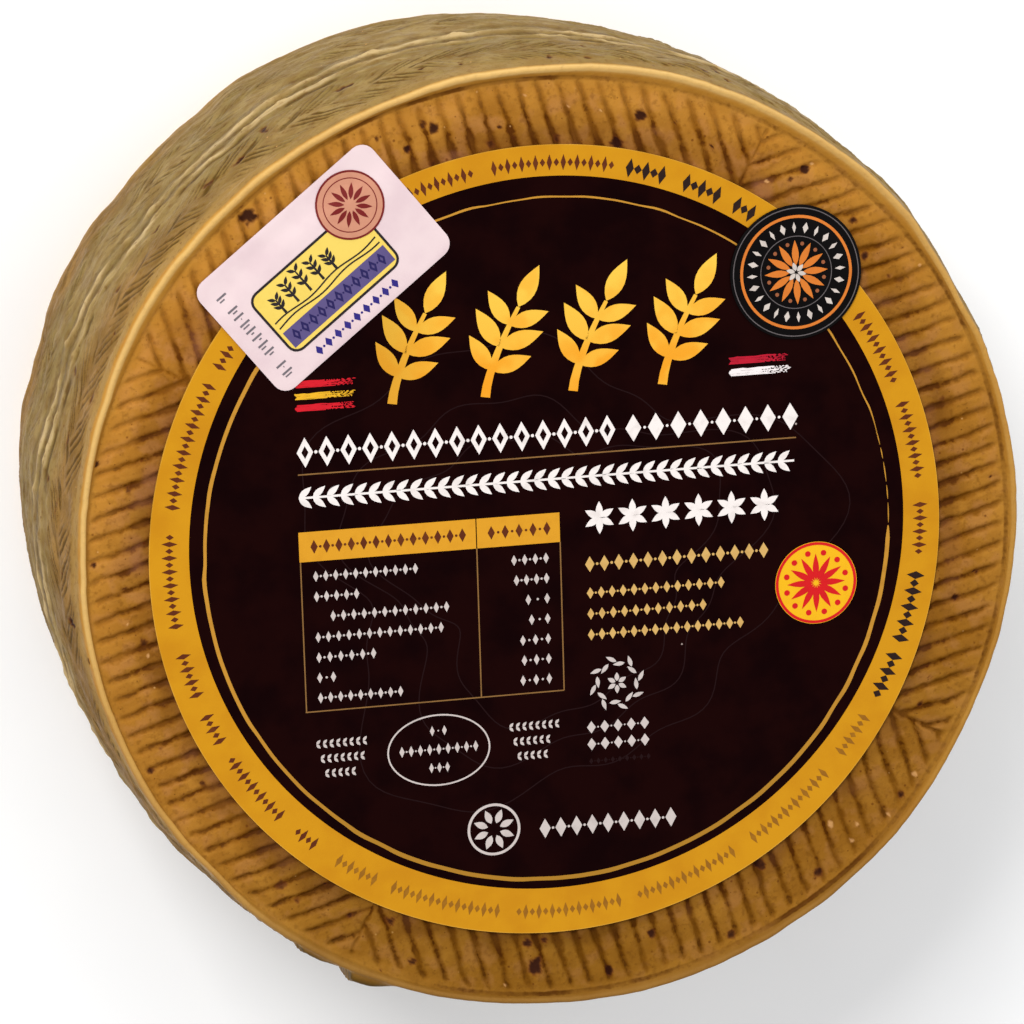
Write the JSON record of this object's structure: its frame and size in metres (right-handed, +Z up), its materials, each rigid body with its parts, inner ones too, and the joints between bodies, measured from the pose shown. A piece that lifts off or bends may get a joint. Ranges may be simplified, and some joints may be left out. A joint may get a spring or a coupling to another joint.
{
  "type": "manchego cheese",
  "caption": "Whole round wheel of hard cheese with ribbed faces inside raised lips, a bulging plaited wall, and a round label, a card and a round sticker on top.",
  "frame": {"origin": "middle of the wheel at the height of the foot it stands on", "axes": "+Z is up, through both faces; +X is to the right of the label as it is read and +Y towards its top"},
  "size_m": [0.2084, 0.2084, 0.096],
  "materials": {
    "rind": "waxy, satin",
    "label": "semi-gloss print",
    "card": "satin print",
    "roundel": "satin print"
  },
  "bodies": {
    "root": {"cheese_wheel": "rind", "label_disc": "label", "label_card": "card", "label_roundel": "roundel"}
  },
  "joints": []
}
